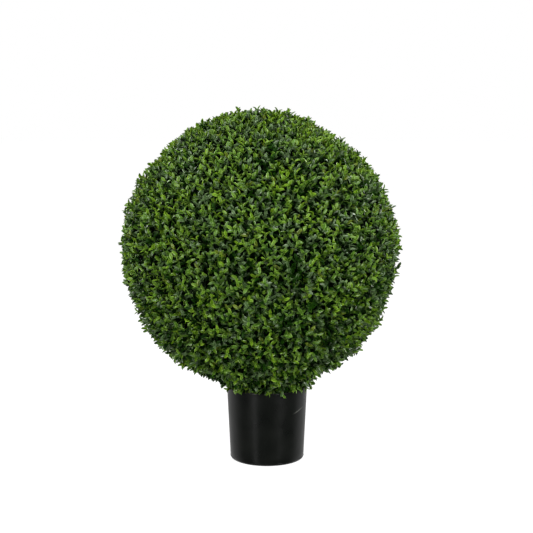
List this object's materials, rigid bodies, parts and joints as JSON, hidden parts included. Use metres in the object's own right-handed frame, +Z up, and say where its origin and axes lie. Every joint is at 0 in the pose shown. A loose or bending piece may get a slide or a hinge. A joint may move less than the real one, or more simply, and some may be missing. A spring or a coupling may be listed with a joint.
{
  "type": "artificial box topiary ball in a pot",
  "caption": "Artificial box topiary: one clipped ball of small-leaved sprigs on a short pole, set in the cement of a round black plastic pot.",
  "frame": {"origin": "centre of the pot's flat underside, which stands on the ground", "axes": "+Z up along the pot's axis, -Y the front that the picture shows"},
  "size_m": [0.6091, 0.6103, 0.7643],
  "materials": {
    "pot_plastic": "satin moulded black plastic",
    "cement": "rough grey cement",
    "pole": "dark brown pole",
    "foliage": "small glossy green leaves"
  },
  "bodies": {
    "root": {"pot": "pot_plastic", "cement_fill": "cement", "stem_pole": "pole", "foliage_ball": "foliage"}
  },
  "joints": []
}
